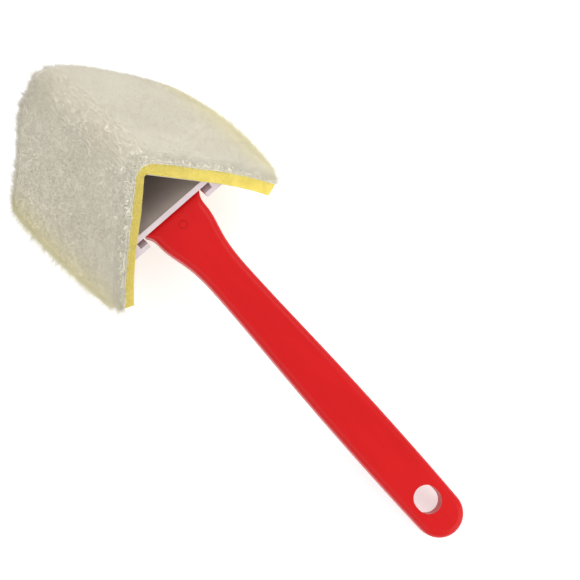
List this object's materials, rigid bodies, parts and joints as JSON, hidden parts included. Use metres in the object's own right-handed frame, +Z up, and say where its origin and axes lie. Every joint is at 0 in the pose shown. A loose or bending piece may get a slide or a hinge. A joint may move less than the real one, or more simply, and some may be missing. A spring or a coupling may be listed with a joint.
{
  "type": "foam sponge brush",
  "caption": "Corner painting brush: a V-shaped plastic head wrapped in foam and fleecy nap slides onto the angled foot of a flat glossy handle with a hang hole.",
  "frame": {"origin": "The middle of the tool's footprint, on the table it lies on.", "axes": "+Z up; +Y from the end of the grip towards the head; X across the V, which is symmetric about X = 0. The tool lies on the end of its grip and the far tips of its two wings, with the apex of the V up."},
  "size_m": [0.1132, 0.3156, 0.1125],
  "materials": {
    "handle_plastic": "glossy moulded polypropylene",
    "carrier_plastic": "satin extruded plastic with faint lines along the extrusion",
    "hot_melt": "thin cloudy hot-melt adhesive",
    "foam": "open-cell polyurethane foam",
    "woven_backing": "plain woven backing cloth",
    "pile": "dense upright fleecy pile"
  },
  "bodies": {
    "pad_head": {"pad_carrier": "carrier_plastic", "adhesive_film": "hot_melt", "foam_pad": "foam", "nap_backing": "woven_backing", "nap_pile": "pile"},
    "handle": {"handle": "handle_plastic"}
  },
  "joints": [
    {"name": "handle_slide", "type": "slide", "parent": "pad_head", "child": "handle", "axis": [0, -0.9064, 0.4224], "range_m": [0, 0.052]}
  ]
}
